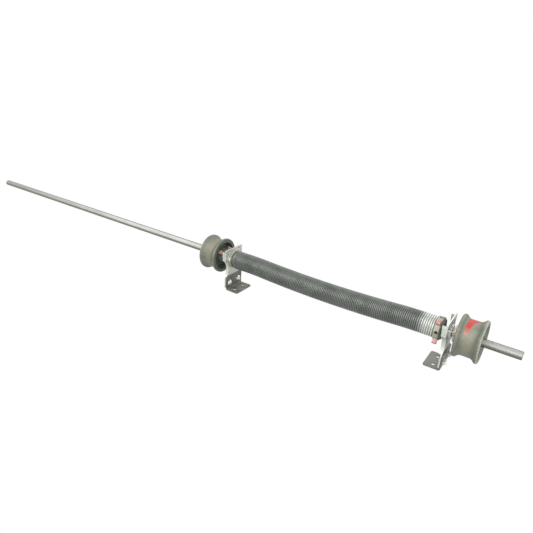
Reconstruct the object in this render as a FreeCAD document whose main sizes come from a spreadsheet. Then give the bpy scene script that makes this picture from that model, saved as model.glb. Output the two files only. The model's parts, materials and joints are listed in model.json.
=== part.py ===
"""Ramp door spring: a torsion spring on a shaft with two cable drums and two bearing brackets.

X runs along the shaft, +Y away from the front, +Z up. The origin lies under the middle of the
shaft, on the plane of the two bracket feet. Millimetres.
"""
import FreeCAD, Part
import Sketcher
import math
import os
import re

doc = FreeCAD.newDocument("ramp_door_spring")
sheet = doc.addObject("Spreadsheet::Sheet", "Sizes")

# Driving dimensions
SIZES = {
    "axis_height": 85.7,
    "shaft_radius": 9.525,
    "shaft_length": 1880.0,
    "shaft_chamfer": 1.2,
    # Cable drums
    "left_drum_x": 124.5,
    "right_drum_x": 835.0,
    "drum_width": 54.0,
    "flange_radius": 48.8,
    "rim_width": 6.5,
    "rim_round": 2.8,
    "flank_width": 6.5,
    "barrel_radius": 41.6,
    "flare_round": 12.0,
    "recess_radius": 37.0,
    "recess_draft": 1.6,
    "web_thick": 16.0,
    "drum_hub_radius": 19.5,
    "drum_hub_reach": 8.0,
    "drum_hub_back": 16.0,
    "drum_bore_gap": 0.05,
    # Square headed set screws
    "left_drum_screw_angle": 51.0,
    "right_drum_screw_angle": 71.0,
    "drum_screw_out": 28.0,
    "screw_radius": 4.5,
    "screw_hole_gap": 0.1,
    "screw_tip_gap": 0.05,
    "screw_head_side": 9.5,
    "screw_head_tall": 9.0,
    "screw_head_stand": 1.0,
    # Brackets
    "left_bracket_x": 184.5,
    "right_bracket_x": 794.0,
    "angle_width": 67.4,
    "angle_thick": 3.0,
    "foot_length": 40.0,
    "leg_height": 40.0,
    "bend_radius": 5.0,
    "foot_corner": 5.0,
    "foot_hole_radius": 4.5,
    "foot_hole_in": 20.0,
    "foot_hole_spacing": 36.4,
    "leg_hole_radius": 4.2,
    "leg_hole_up": 18.6,
    "leg_hole_spacing": 39.6,
    "plate_thick": 3.0,
    "plate_width": 72.0,
    "plate_low": 6.0,
    "plate_above_axis": 33.0,
    "plate_corner": 4.0,
    "waist_radius": 30.0,
    "waist_half": 22.5,
    "waist_up": 62.0,
    "edge_thick": 2.6,
    "edge_depth_low": 7.5,
    "edge_depth_top": 12.5,
    "edge_low": 41.0,
    "edge_top_gap": 6.0,
    "spare_hole_radius": 3.6,
    "spare_hole_spacing": 42.0,
    "spare_hole_above_axis": 26.5,
    # Bearings
    "race_bore_gap": 0.03,
    "race_width": 9.0,
    "inner_race_radius": 12.4,
    "outer_race_inside": 15.2,
    "outer_race_radius": 18.0,
    "race_flange_radius": 19.6,
    "race_flange_thick": 1.5,
    "ball_radius": 2.2,
    "ball_pitch_radius": 13.8,
    "ball_count": 9.0,
    "inner_groove_gap": 0.05,
    "outer_groove_gap": 0.1,
    # Bracket fasteners
    "bolt_radius": 3.9,
    "bolt_dome_radius": 8.5,
    "bolt_dome_tall": 4.2,
    "bolt_length": 14.0,
    "nut_across": 12.7,
    "nut_thick": 6.5,
    "nut_thread_gap": 0.02,
    "head_overlap": 0.5,
    # Cone fasteners
    "cone_bolt_radius": 3.1,
    "cone_hole_gap": 0.3,
    "cone_bolt_across": 11.1,
    "cone_bolt_head": 4.4,
    "cone_bolt_length": 17.0,
    "cone_nut_thick": 5.0,
    # Cones
    "nose_radius": 20.6,
    "nose_lead": 3.0,
    "nose_length": 42.0,
    "stationary_ear_spacing": 52.0,
    "stationary_ear_up": 8.0,
    "stationary_ear_radius": 6.8,
    "stationary_ear_thick": 6.0,
    "stationary_flange_radius": 24.0,
    "stationary_neck_radius": 18.0,
    "stationary_bore_radius": 10.6,
    "bearing_pocket_radius": 20.0,
    "bearing_pocket_deep": 4.9,
    "collar_radius": 27.2,
    "collar_length": 16.0,
    "collar_taper": 4.0,
    "socket_radius": 4.3,
    "socket_floor": 14.0,
    "socket_from_end": 9.5,
    "socket_angle": 90.0,
    "socket_count": 4.0,
    "cone_screw_spread": 48.0,
    # Torsion spring
    "spring_start_x": 195.2,
    "spring_end_x": 760.0,
    "spring_inside_radius": 20.8,
    "wire_diameter": 4.5,
    "spring_grip": 44.0,
    "spring_sag": 7.0,
    "sag_lead_share": 0.2,
    "close_turn_depth": 1.6,
    "turns_per_run": 4.0,
    "open_coil_length": 42.0,
    "open_coil_turns": 8.0,
    "open_turn_depth": 2.6,
    "spring_end_gap": 0.1,
    # How far a cutting tool passes the face that it cuts, and a point pinned just off a sketch's axis
    "cut_over": 1.0,
    "off_axis": 0.001,
}
# An edge counts as lying at a place when it is this close to it
NEAR = 0.1

for row, (alias, size) in enumerate(SIZES.items(), start=1):
    sheet.set("A%d" % row, alias.replace("_", " "))
    sheet.set("B%d" % row, repr(size))
    sheet.setAlias("B%d" % row, alias)
doc.recompute()


def bound(text):
    """The same formula with every size name pointing at its cell of the sheet."""

    def cell(word):
        name = word.group()
        return "Sizes." + name if name in SIZES else name

    return re.sub(r"[a-z]\w*", cell, text)


def number(text):
    """Present value of a formula written in size names."""
    return float(sheet.evalExpression(bound(text)))


# Helpers for primitives and booleans


def set_sizes(piece, **formulas):
    for name, formula in formulas.items():
        piece.setExpression(name, bound(formula))


def place(piece, x="0", y="0", z="0", axis=(0, 0, 1), angle="0"):
    """Bind a piece's placement: a turn about one axis, then a shift."""
    turn = FreeCAD.Rotation(FreeCAD.Vector(*axis), number(angle))
    piece.Placement = FreeCAD.Placement(FreeCAD.Vector(number(x), number(y), number(z)), turn)
    piece.setExpression("Placement.Base.x", bound(x))
    piece.setExpression("Placement.Base.y", bound(y))
    piece.setExpression("Placement.Base.z", bound(z))
    if angle != "0":
        piece.setExpression("Placement.Rotation.Angle", bound(angle))


def block(name, low, high):
    """Box between two corners given as formulas."""
    piece = doc.addObject("Part::Box", name)
    spans = ["(%s) - (%s)" % (top, bottom) for bottom, top in zip(low, high)]
    set_sizes(piece, Length=spans[0], Width=spans[1], Height=spans[2])
    place(piece, *low)
    return piece


def rod_x(name, start_x, y, z, radius, length):
    """Cylinder along +X."""
    piece = doc.addObject("Part::Cylinder", name)
    set_sizes(piece, Radius=radius, Height=length)
    place(piece, start_x, y, z, axis=(0, 1, 0), angle="90")
    return piece


def hex_x(name, start_x, y, z, across, length):
    """Hexagonal prism along +X."""
    piece = doc.addObject("Part::Prism", name)
    piece.Polygon = 6
    set_sizes(piece, Circumradius="(%s) / 2 / cos(30)" % across, Height=length)
    place(piece, start_x, y, z, axis=(0, 1, 0), angle="90")
    return piece


def fused(name, pieces):
    piece = doc.addObject("Part::MultiFuse", name)
    piece.Shapes = pieces
    return piece


def cut(name, base, tool):
    piece = doc.addObject("Part::Cut", name)
    piece.Base = base
    piece.Tool = tool
    return piece


def shared(name, base, tool):
    piece = doc.addObject("Part::Common", name)
    piece.Base = base
    piece.Tool = tool
    return piece


def group(name, pieces):
    piece = doc.addObject("Part::Compound", name)
    piece.Links = pieces
    return piece


# Helpers for bodies with sketches


def origin_part(body, role):
    return next(part for part in body.Origin.OriginFeatures if part.Role == role)


def new_sketch(body, name, plane):
    sketch = body.newObject("Sketcher::SketchObject", name)
    sketch.AttachmentSupport = (origin_part(body, plane), [""])
    sketch.MapMode = "FlatFace"
    return sketch


def pin_point(sketch, geometry, point, across, up):
    """Hold one point of a sketch at two bound distances from its origin."""
    for kind, formula in (("DistanceX", across), ("DistanceY", up)):
        rule = Sketcher.Constraint(kind, -1, 1, geometry, point, number(formula))
        index = sketch.addConstraint(rule)
        sketch.setExpression("Constraints[%d]" % index, bound(formula))


def draw_outline(sketch, corners):
    """Closed outline of straight lines through corners given as pairs of formulas."""
    first = sketch.GeometryCount
    count = len(corners)
    points = [FreeCAD.Vector(number(across), number(up), 0) for across, up in corners]
    for index in range(count):
        sketch.addGeometry(Part.LineSegment(points[index], points[(index + 1) % count]), False)
    for index in range(count):
        following = first + (index + 1) % count
        sketch.addConstraint(Sketcher.Constraint("Coincident", first + index, 2, following, 1))
    for index, (across, up) in enumerate(corners):
        pin_point(sketch, first + index, 1, across, up)


def draw_circle(sketch, across, up, radius):
    centre = FreeCAD.Vector(number(across), number(up), 0)
    index = sketch.addGeometry(Part.Circle(centre, FreeCAD.Vector(0, 0, 1), number(radius)), False)
    pin_point(sketch, index, 3, across, up)
    rule = sketch.addConstraint(Sketcher.Constraint("Radius", index, number(radius)))
    sketch.setExpression("Constraints[%d]" % rule, bound(radius))


def turned_body(name, corners):
    """Body of revolution about X from an outline of (along X, radius) corners."""
    body = doc.addObject("PartDesign::Body", name)
    sketch = new_sketch(body, name + "_section", "XZ_Plane")
    draw_outline(sketch, corners)
    turn = body.newObject("PartDesign::Revolution", name + "_turned")
    turn.Profile = sketch
    turn.ReferenceAxis = (sketch, ["H_Axis"])
    turn.Angle = 360
    doc.recompute()
    return body


def round_edges(body, name, radius, wanted):
    """Fillet the edges of the body's tip that the test picks out."""
    base = body.Tip
    names = ["Edge%d" % (i + 1) for i, edge in enumerate(base.Shape.Edges) if wanted(edge)]
    fillet = body.newObject("PartDesign::Fillet", name)
    fillet.Base = (base, names)
    fillet.setExpression("Radius", bound(radius))
    doc.recompute()
    return fillet


def cut_through(body, name, sketch):
    """Pocket a sketch right through the body on both sides, and see that it took material."""
    before = body.Shape.Volume
    pocket = body.newObject("PartDesign::Pocket", name)
    pocket.Profile = sketch
    pocket.Type = "ThroughAll"
    pocket.Midplane = True
    doc.recompute()
    if body.Shape.Volume >= before:
        raise RuntimeError(name + " cut nothing")


SIDES = {"left": 1, "right": -1}
NODES = []


def keep(piece, label):
    """Give a finished sub-part its label and list it for writing."""
    piece.Label = label
    NODES.append(piece)
    return piece


def inward(side, formula):
    """X of a point measured from a bracket's back face towards the spring."""
    return "%s_bracket_x + (%d) * (%s)" % (side, SIDES[side], formula)


# Shaft: one straight bar with chamfered ends


def make_shaft():
    end = "shaft_length / 2"
    corners = [
        ("-(%s)" % end, "0"),
        ("-(%s)" % end, "shaft_radius - shaft_chamfer"),
        ("-(%s) + shaft_chamfer" % end, "shaft_radius"),
        ("%s - shaft_chamfer" % end, "shaft_radius"),
        (end, "shaft_radius - shaft_chamfer"),
        (end, "0"),
    ]
    body = turned_body("shaft_bar", corners)
    place(body, z="axis_height")
    keep(body, "shaft")


# Set screws: a square head on a shank that bears on the shaft


def radial_screw(name, x, seat_radius, angle):
    """One set screw pointing at the axis, turned about X from straight up."""
    shank = doc.addObject("Part::Cylinder", name + "_shank")
    tip = "shaft_radius + screw_tip_gap"
    set_sizes(shank, Radius="screw_radius", Height="(%s) + screw_head_stand - (%s)" % (seat_radius, tip))
    place(shank, z=tip)
    half = "screw_head_side / 2"
    low = ("-(%s)" % half, "-(%s)" % half, "(%s) + screw_head_stand" % seat_radius)
    high = (half, half, "(%s) + screw_head_stand + screw_head_tall" % seat_radius)
    head = block(name + "_head", low, high)
    screw = fused(name, [shank, head])
    place(screw, x, "0", "axis_height", axis=(1, 0, 0), angle=angle)
    return screw


def radial_hole(name, x, floor_radius, radius, reach, angle):
    """Cylinder that bores a radial hole from a floor radius outwards, turned about X from straight up."""
    hole = doc.addObject("Part::Cylinder", name)
    set_sizes(hole, Radius=radius, Height="(%s) - (%s)" % (reach, floor_radius))
    y = "-(%s) * sin(%s)" % (floor_radius, angle)
    z = "axis_height + (%s) * cos(%s)" % (floor_radius, angle)
    place(hole, x, y, z, axis=(1, 0, 0), angle=angle)
    return hole


# Cable drums: castings with a flared barrel, a rim at each end and a hub towards the spring


def drum_section(sign):
    half = "drum_width / 2"
    web = "web_thick / 2"
    rim = "%s - rim_width" % half
    flank = "%s - rim_width - flank_width" % half
    bore = "shaft_radius + drum_bore_gap"
    along_radius = [
        ("-drum_hub_back", bore),
        ("-drum_hub_back", "drum_hub_radius"),
        ("-(%s)" % web, "drum_hub_radius"),
        ("-(%s)" % web, "recess_radius"),
        ("-(%s)" % half, "recess_radius + recess_draft"),
        ("-(%s)" % half, "flange_radius"),
        ("-(%s)" % rim, "flange_radius"),
        ("-(%s)" % flank, "barrel_radius"),
        (flank, "barrel_radius"),
        (rim, "flange_radius"),
        (half, "flange_radius"),
        (half, "recess_radius + recess_draft"),
        (web, "recess_radius"),
        (web, "drum_hub_radius"),
        ("%s + drum_hub_reach" % half, "drum_hub_radius"),
        ("%s + drum_hub_reach" % half, bore),
    ]
    return [("(%d) * (%s)" % (sign, along), radius) for along, radius in along_radius]


def make_drum(side):
    sign = SIDES[side]
    name = side + "_drum_casting"
    body = turned_body(name, drum_section(sign))

    def ring_of(radius):
        def matches(edge):
            return hasattr(edge.Curve, "Radius") and abs(edge.Curve.Radius - number(radius)) < NEAR

        return matches

    round_edges(body, name + "_flare", "flare_round", ring_of("barrel_radius"))
    round_edges(body, name + "_lips", "rim_round", ring_of("flange_radius"))
    place(body, side + "_drum_x", "0", "axis_height")

    screw_x = "%s_drum_x + (%d) * drum_screw_out" % (side, sign)
    holes = []
    screws = []
    for mark, hand in (("front", 1), ("back", -1)):
        angle = "(%d) * %s_drum_screw_angle" % (hand, side)
        hole = radial_hole(
            "%s_drum_%s_hole" % (side, mark),
            screw_x,
            "shaft_radius - cut_over",
            "screw_radius + screw_hole_gap",
            "drum_hub_radius + cut_over",
            angle,
        )
        holes.append(hole)
        screws.append(radial_screw("%s_drum_%s_screw" % (side, mark), screw_x, "drum_hub_radius", angle))
    keep(cut(side + "_drum_bored", body, fused(side + "_drum_holes", holes)), side + "_drum")
    keep(group(side + "_drum_screw_pair", screws), side + "_drum_set_screws")


# Brackets: a dark angle with the foot, and a pale waisted bearing plate bolted to its upright leg

# Both plates face the same way, so the left one stands behind its angle and the right one inside it.
# These are distances in from the back face of the angle: the plate's right face, and the seats of the
# domed bolt heads and of the nuts
PLATE_FACE = {"left": "0", "right": "angle_thick"}
DOME_SEAT = {"left": "angle_thick", "right": "angle_thick + plate_thick"}
NUT_SEAT = {"left": "-plate_thick", "right": "0"}


def make_angle(side):
    sign = SIDES[side]
    name = side + "_angle_bar"
    body = doc.addObject("PartDesign::Body", name)
    section = new_sketch(body, name + "_section", "XZ_Plane")
    corners = [
        ("off_axis", "off_axis"),
        ("foot_length", "off_axis"),
        ("foot_length", "angle_thick"),
        ("angle_thick", "angle_thick"),
        ("angle_thick", "leg_height"),
        ("off_axis", "leg_height"),
    ]
    draw_outline(section, [("(%d) * (%s)" % (sign, across), up) for across, up in corners])
    pad = body.newObject("PartDesign::Pad", name + "_pad")
    pad.Profile = section
    pad.Midplane = True
    pad.setExpression("Length", bound("angle_width"))
    doc.recompute()

    def lies_at(across, up):
        """Test for edges along Y at a distance in from the back face and a height."""

        def matches(edge):
            middle = edge.CenterOfMass
            level = abs(middle.z - number(up)) < NEAR and abs(middle.y) < NEAR
            return level and abs(abs(middle.x) - number(across)) < NEAR

        return matches

    def corner_of(axis, reach):
        """Test for the short edges through the sheet at the two corners of one end."""

        def matches(edge):
            middle = edge.CenterOfMass
            at_end = abs(abs(getattr(middle, axis)) - number(reach)) < NEAR
            return at_end and abs(abs(middle.y) - number("angle_width / 2")) < NEAR

        return matches

    round_edges(body, name + "_bend", "bend_radius", lies_at("0", "0"))
    inside_bend = lies_at("angle_thick", "angle_thick")
    round_edges(body, name + "_bend_inside", "bend_radius - angle_thick", inside_bend)
    round_edges(body, name + "_foot_corners", "foot_corner", corner_of("x", "foot_length"))
    round_edges(body, name + "_leg_corners", "plate_corner", corner_of("z", "leg_height"))

    foot = new_sketch(body, name + "_foot_holes", "XY_Plane")
    leg = new_sketch(body, name + "_leg_holes", "YZ_Plane")
    for hand in (-1, 1):
        foot_y = "(%d) * foot_hole_spacing / 2" % hand
        draw_circle(foot, "(%d) * foot_hole_in" % sign, foot_y, "foot_hole_radius")
        draw_circle(leg, "(%d) * leg_hole_spacing / 2" % hand, "leg_hole_up", "leg_hole_radius")
    cut_through(body, name + "_foot_drill", foot)
    cut_through(body, name + "_leg_drill", leg)
    place(body, side + "_bracket_x")
    keep(body, side + "_angle")


def span_x(side, near, far):
    """Low and high X of a stretch between two distances in from a bracket's back face."""
    pair = [inward(side, near), inward(side, far)]
    return pair if number(pair[0]) < number(pair[1]) else pair[::-1]


def rod_inward(name, side, near, far, y, z, radius):
    low, high = span_x(side, near, far)
    return rod_x(name, low, y, z, radius, "(%s) - (%s)" % (high, low))


def hex_inward(name, side, near, far, y, z, across):
    low, high = span_x(side, near, far)
    return hex_x(name, low, y, z, across, "(%s) - (%s)" % (high, low))


def block_inward(name, side, near, far, y_span, z_span):
    low, high = span_x(side, near, far)
    return block(name, (low, y_span[0], z_span[0]), (high, y_span[1], z_span[1]))


def leftward(side, distance):
    """Distance in from an angle's back face, for a place to the left of the plate's right face."""
    return "%s - (%d) * (%s)" % (PLATE_FACE[side], SIDES[side], distance)


def make_edge_room(side, top):
    """Room that the turned edges fill: shallow over the angle and deeper towards the top."""
    name = side + "_edge_room"
    body = doc.addObject("PartDesign::Body", name)
    section = new_sketch(body, name + "_section", "XZ_Plane")
    edge_top = "%s - edge_top_gap" % top
    corners = [
        ("-off_axis", "edge_low"),
        ("-off_axis", edge_top),
        ("-edge_depth_top", edge_top),
        ("-edge_depth_low", "edge_low"),
    ]
    draw_outline(section, corners)
    pad = body.newObject("PartDesign::Pad", name + "_pad")
    pad.Profile = section
    pad.Midplane = True
    pad.setExpression("Length", bound("plate_width"))
    place(body, inward(side, PLATE_FACE[side]))
    return body


def make_plate(side):
    """Waisted plate: a blank with two round bites, and its side edges turned to the left."""
    name = side + "_plate"
    half = "plate_width / 2"
    top = "axis_height + plate_above_axis"
    wide = ("-(%s)" % half, half)
    faces = (leftward(side, "plate_thick"), leftward(side, "0"))
    blank = block_inward(name + "_blank", side, *faces, wide, ("plate_low", top))
    deep = (leftward(side, "edge_depth_top + cut_over"), leftward(side, "-cut_over"))
    strips = {-1: (wide[0], wide[0] + " + edge_thick"), 1: (half + " - edge_thick", half)}
    edges = []
    holes = []
    for mark, hand in (("front", -1), ("back", 1)):
        tag = "%s_%s" % (name, mark)
        bite_y = "(%d) * (waist_half + waist_radius)" % hand
        leg_y = "(%d) * leg_hole_spacing / 2" % hand
        ear_y = "(%d) * stationary_ear_spacing / 2" % hand
        spare_y = "(%d) * spare_hole_spacing / 2" % hand
        ear_z = "axis_height + stationary_ear_up"
        spare_z = "axis_height + spare_hole_above_axis"
        ear_hole = "cone_bolt_radius + cone_hole_gap"
        edge_radius = "waist_radius + edge_thick"
        edges.append(rod_inward(tag + "_edge", side, *deep, bite_y, "waist_up", edge_radius))
        edges.append(block_inward(tag + "_strip", side, *deep, strips[hand], ("waist_up", top)))
        holes.append(rod_inward(tag + "_bite", side, *deep, bite_y, "waist_up", "waist_radius"))
        holes.append(rod_inward(tag + "_leg_hole", side, *deep, leg_y, "leg_hole_up", "leg_hole_radius"))
        holes.append(rod_inward(tag + "_ear_hole", side, *deep, ear_y, ear_z, ear_hole))
        holes.append(rod_inward(tag + "_spare", side, *deep, spare_y, spare_z, "spare_hole_radius"))
    holes.append(rod_inward(name + "_bore", side, *deep, "0", "axis_height", "outer_race_radius"))
    room = make_edge_room(side, top)
    raised = shared(name + "_raised_edges", fused(name + "_edge_stock", edges), room)
    solid = fused(name + "_solid", [blank, raised])
    cleared = cut(name + "_cleared", solid, fused(name + "_holes", holes))
    doc.recompute()

    def head_corner(edge):
        middle = edge.CenterOfMass
        at_side = abs(abs(middle.y) - number(half)) < NEAR
        at_end = any(abs(middle.z - number(level)) < NEAR for level in (top, "plate_low"))
        return at_side and at_end

    rounded = doc.addObject("Part::Fillet", name + "_rounded")
    rounded.Base = cleared
    radius = number("plate_corner")
    picked = [i + 1 for i, edge in enumerate(cleared.Shape.Edges) if head_corner(edge)]
    rounded.Edges = [(index, radius, radius) for index in picked]
    keep(rounded, side + "_bearing_plate")


# Bearings: an inner race on the shaft, an outer race in the plate and balls between


def ball_groove(name, gap):
    ring = doc.addObject("Part::Torus", name)
    set_sizes(ring, Radius1="ball_pitch_radius", Radius2="ball_radius + " + gap)
    return ring


def make_bearing(side):
    middle_x = inward(side, PLATE_FACE[side])
    at = (middle_x, "0", "axis_height")
    flange_end = "race_flange_thick"
    half = "race_width / 2"
    bore = "shaft_radius + race_bore_gap"
    inner_corners = [
        ("-(%s)" % half, bore),
        (half, bore),
        (half, "inner_race_radius"),
        ("-(%s)" % half, "inner_race_radius"),
    ]
    inner_body = turned_body(side + "_inner_ring", inner_corners)
    place(inner_body, *at)
    outer_corners = [
        ("-(%s)" % half, "outer_race_inside"),
        ("-(%s)" % half, "outer_race_radius"),
        ("off_axis", "outer_race_radius"),
        ("off_axis", "race_flange_radius"),
        (flange_end, "race_flange_radius"),
        (flange_end, "outer_race_radius"),
        (half, "outer_race_radius"),
        (half, "outer_race_inside"),
    ]
    outer_body = turned_body(side + "_outer_ring", outer_corners)
    place(outer_body, *at)
    races = (("inner", inner_body, "inner_groove_gap"), ("outer", outer_body, "outer_groove_gap"))
    for mark, body, gap in races:
        groove = ball_groove("%s_%s_groove" % (side, mark), gap)
        place(groove, *at, axis=(0, 1, 0), angle="90")
        keep(cut("%s_%s_race_cut" % (side, mark), body, groove), "%s_%s_race" % (side, mark))
    balls = []
    for index in range(int(number("ball_count"))):
        ball = doc.addObject("Part::Sphere", "%s_ball_%d" % (side, index))
        set_sizes(ball, Radius="ball_radius")
        angle = "360 / ball_count * %d" % index
        place(
            ball,
            middle_x,
            "ball_pitch_radius * sin(%s)" % angle,
            "axis_height + ball_pitch_radius * cos(%s)" % angle,
        )
        balls.append(ball)
    keep(group(side + "_ball_set", balls), side + "_bearing_balls")


# Bracket fasteners: domed bolts through the angle and the plate, with hexagon nuts on the other side


def make_bracket_bolts(side):
    bolts = []
    nuts = []
    for mark, hand in (("front", -1), ("back", 1)):
        tag = "%s_bracket_%s" % (side, mark)
        y = "(%d) * leg_hole_spacing / 2" % hand
        z = "leg_hole_up"
        face = DOME_SEAT[side]
        ends = ("%s - bolt_length" % face, "%s + head_overlap" % face)
        shank = rod_inward(tag + "_shank", side, *ends, y, z, "bolt_radius")
        ball = doc.addObject("Part::Sphere", tag + "_ball")
        # A cap of a sphere: its radius follows from the dome's radius and height
        cap = "(bolt_dome_radius^2 + bolt_dome_tall^2) / (2 * bolt_dome_tall)"
        set_sizes(ball, Radius=cap)
        place(ball, inward(side, "%s + bolt_dome_tall - (%s)" % (face, cap)), y, z)
        spread = "bolt_dome_radius + cut_over"
        clip = block_inward(
            tag + "_clip",
            side,
            face,
            "%s + bolt_dome_tall + cut_over" % face,
            ("%s - (%s)" % (y, spread), "%s + %s" % (y, spread)),
            ("%s - (%s)" % (z, spread), "%s + %s" % (z, spread)),
        )
        dome = shared(tag + "_dome", ball, clip)
        bolts.append(fused(tag + "_bolt", [shank, dome]))
        seat = NUT_SEAT[side]
        nut_low = seat + " - nut_thick"
        blank = hex_inward(tag + "_nut_blank", side, nut_low, seat, y, z, "nut_across")
        tapped = "bolt_radius + nut_thread_gap"
        tap_ends = (nut_low + " - cut_over", seat + " + cut_over")
        tap = rod_inward(tag + "_nut_tap", side, *tap_ends, y, z, tapped)
        nuts.append(cut(tag + "_nut", blank, tap))
    keep(group(side + "_bolt_pair", bolts), side + "_bracket_bolts")
    keep(group(side + "_nut_pair", nuts), side + "_bracket_nuts")


# Stationary cone: bolted to the left bearing plate by its two ears, with the spring on its nose


def make_stationary_cone():
    side = "left"
    ear_half = "stationary_ear_spacing / 2"
    ear_z = "axis_height + stationary_ear_up"
    flange = "stationary_ear_thick"
    neck_end = "spring_start_x - left_bracket_x"
    nose_end = "%s + nose_length" % neck_end
    corners = [
        ("off_axis", "stationary_bore_radius"),
        ("off_axis", "stationary_flange_radius"),
        (flange, "stationary_flange_radius"),
        (flange, "stationary_neck_radius"),
        (neck_end, "stationary_neck_radius"),
        (neck_end, "nose_radius"),
        ("%s - nose_lead" % nose_end, "nose_radius"),
        (nose_end, "nose_radius - nose_lead / 2"),
        (nose_end, "stationary_bore_radius"),
    ]
    core = turned_body("stationary_cone_core", corners)
    place(core, "left_bracket_x", "0", "axis_height")
    pieces = [core]
    holes = []
    wings = ("-(%s)" % ear_half, ear_half)
    tall = (ear_z + " - stationary_ear_radius", ear_z + " + stationary_ear_radius")
    bar = block_inward("stationary_ear_bar", side, "0", flange, wings, tall)
    pieces.append(bar)
    for mark, hand in (("front", -1), ("back", 1)):
        y = "(%d) * %s" % (hand, ear_half)
        tag = "stationary_" + mark
        pieces.append(rod_inward(tag + "_ear", side, "0", flange, y, ear_z, "stationary_ear_radius"))
        deep = ("-cut_over", "%s + cut_over" % flange)
        ear_hole = "cone_bolt_radius + cone_hole_gap"
        holes.append(rod_inward(tag + "_ear_hole", side, *deep, y, ear_z, ear_hole))
    rooms = (
        ("stationary_pocket", "bearing_pocket_deep", "bearing_pocket_radius"),
        ("stationary_bore", "%s + cut_over" % nose_end, "stationary_bore_radius"),
    )
    for room, depth, radius in rooms:
        holes.append(rod_inward(room, side, "-cut_over", depth, "0", "axis_height", radius))
    solid = fused("stationary_cone_solid", pieces)
    keep(cut("stationary_cone_cut", solid, fused("stationary_cone_holes", holes)), "stationary_cone")

    bolts = []
    nuts = []
    for mark, hand in (("front", -1), ("back", 1)):
        y = "(%d) * %s" % (hand, ear_half)
        tag = "cone_%s" % mark
        z = ear_z
        head_end = "%s + cone_bolt_head" % flange
        head = hex_inward(tag + "_head", side, flange, head_end, y, z, "cone_bolt_across")
        ends = ("%s - cone_bolt_length" % flange, "%s + head_overlap" % flange)
        shank = rod_inward(tag + "_shank", side, *ends, y, z, "cone_bolt_radius")
        bolts.append(fused(tag + "_bolt", [head, shank]))
        nut_low = "-plate_thick - cone_nut_thick"
        blank = hex_inward(tag + "_nut_blank", side, nut_low, "-plate_thick", y, z, "cone_bolt_across")
        tapped = "cone_bolt_radius + nut_thread_gap"
        tap = rod_inward(tag + "_nut_tap", side, nut_low + " - cut_over", "0", y, z, tapped)
        nuts.append(cut(tag + "_nut", blank, tap))
    keep(group("cone_bolt_pair", bolts), "stationary_cone_bolts")
    keep(group("cone_nut_pair", nuts), "stationary_cone_nuts")


# Winding cone: screwed into the far end of the spring and set-screwed to the shaft


def make_winding_cone():
    bore = "shaft_radius + drum_bore_gap"
    nose_start = "spring_end_x - nose_length"
    collar_end = "spring_end_x + collar_length"
    corners = [
        (nose_start, bore),
        (nose_start, "nose_radius - nose_lead / 2"),
        ("%s + nose_lead" % nose_start, "nose_radius"),
        ("spring_end_x", "nose_radius"),
        ("spring_end_x", "collar_radius"),
        ("%s - collar_taper" % collar_end, "collar_radius"),
        (collar_end, "collar_radius - collar_taper"),
        (collar_end, bore),
    ]
    body = turned_body("winding_cone_core", corners)
    place(body, z="axis_height")
    hole_x = "spring_end_x + collar_length - socket_from_end"
    rim = "collar_radius + cut_over"
    holes = []
    screws = []
    for index in range(int(number("socket_count"))):
        turn = "socket_angle + 360 / socket_count * %d" % index
        name = "winding_socket_%d" % index
        holes.append(radial_hole(name, hole_x, "socket_floor", "socket_radius", rim, turn))
    for mark, hand in (("upper", -1), ("lower", 1)):
        turn = "socket_angle + (%d) * cone_screw_spread" % hand
        drill = "screw_radius + screw_hole_gap"
        name = "winding_%s_screw" % mark
        holes.append(radial_hole(name + "_hole", hole_x, "shaft_radius - cut_over", drill, rim, turn))
        screws.append(radial_screw(name, hole_x, "collar_radius", turn))
    keep(cut("winding_cone_cut", body, fused("winding_cone_holes", holes)), "winding_cone")
    keep(group("winding_screw_set", screws), "winding_cone_set_screws")


# Torsion spring: one bowed tube with a ridge for each turn, deeper and wider at the winding end


def spring_path():
    """Straight at both cones, sagging between them along three tangent arcs."""
    start = number("spring_start_x")
    close_end = number("spring_end_x - open_coil_length")
    bow_start = start + number("spring_grip")
    span = close_end - bow_start
    sag = number("spring_sag")
    axis = number("axis_height")
    slope = 2 * math.atan(2 * sag / span)
    radius_sum = span / (2 * math.sin(slope))
    lead_radius = number("sag_lead_share") * radius_sum
    belly_radius = radius_sum - lead_radius

    def point(x, drop):
        return FreeCAD.Vector(x, 0, axis - drop)

    def lead(turn):
        return lead_radius * math.sin(turn), lead_radius * (1 - math.cos(turn))

    middle = (bow_start + close_end) / 2
    half_run, half_drop = lead(slope / 2)
    full_run, full_drop = lead(slope)
    first = point(bow_start + full_run, full_drop)
    last = point(close_end - full_run, full_drop)
    close_wound = [
        Part.LineSegment(point(start, 0), point(bow_start, 0)),
        Part.Arc(point(bow_start, 0), point(bow_start + half_run, half_drop), first),
        Part.Arc(first, point(middle, sag), last),
        Part.Arc(last, point(close_end - half_run, half_drop), point(close_end, 0)),
    ]
    end = point(number("spring_end_x - spring_end_gap"), 0)
    open_coils = Part.LineSegment(point(close_end, 0), end)
    print("spring bow: lead radius %.0f, belly radius %.0f" % (lead_radius, belly_radius))
    return [edge.toShape() for edge in close_wound], open_coils.toShape()


def ring_wire(centre, along, radius):
    return Part.Wire([Part.Circle(centre, along, radius).toShape()])


def turn_rings(start, end, bend, turns, first_depth, depth):
    """A ring in the groove before each turn and one on its crest, along one straight run."""
    along = end - start
    crest = number("spring_inside_radius + wire_diameter")
    rings = [ring_wire(start, bend, crest - first_depth)]
    for step in range(1, 2 * turns):
        centre = start + along * (step / (2 * turns))
        on_crest = step % 2 == 1
        rings.append(ring_wire(centre, along, crest if on_crest else crest - depth))
    return rings


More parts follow.
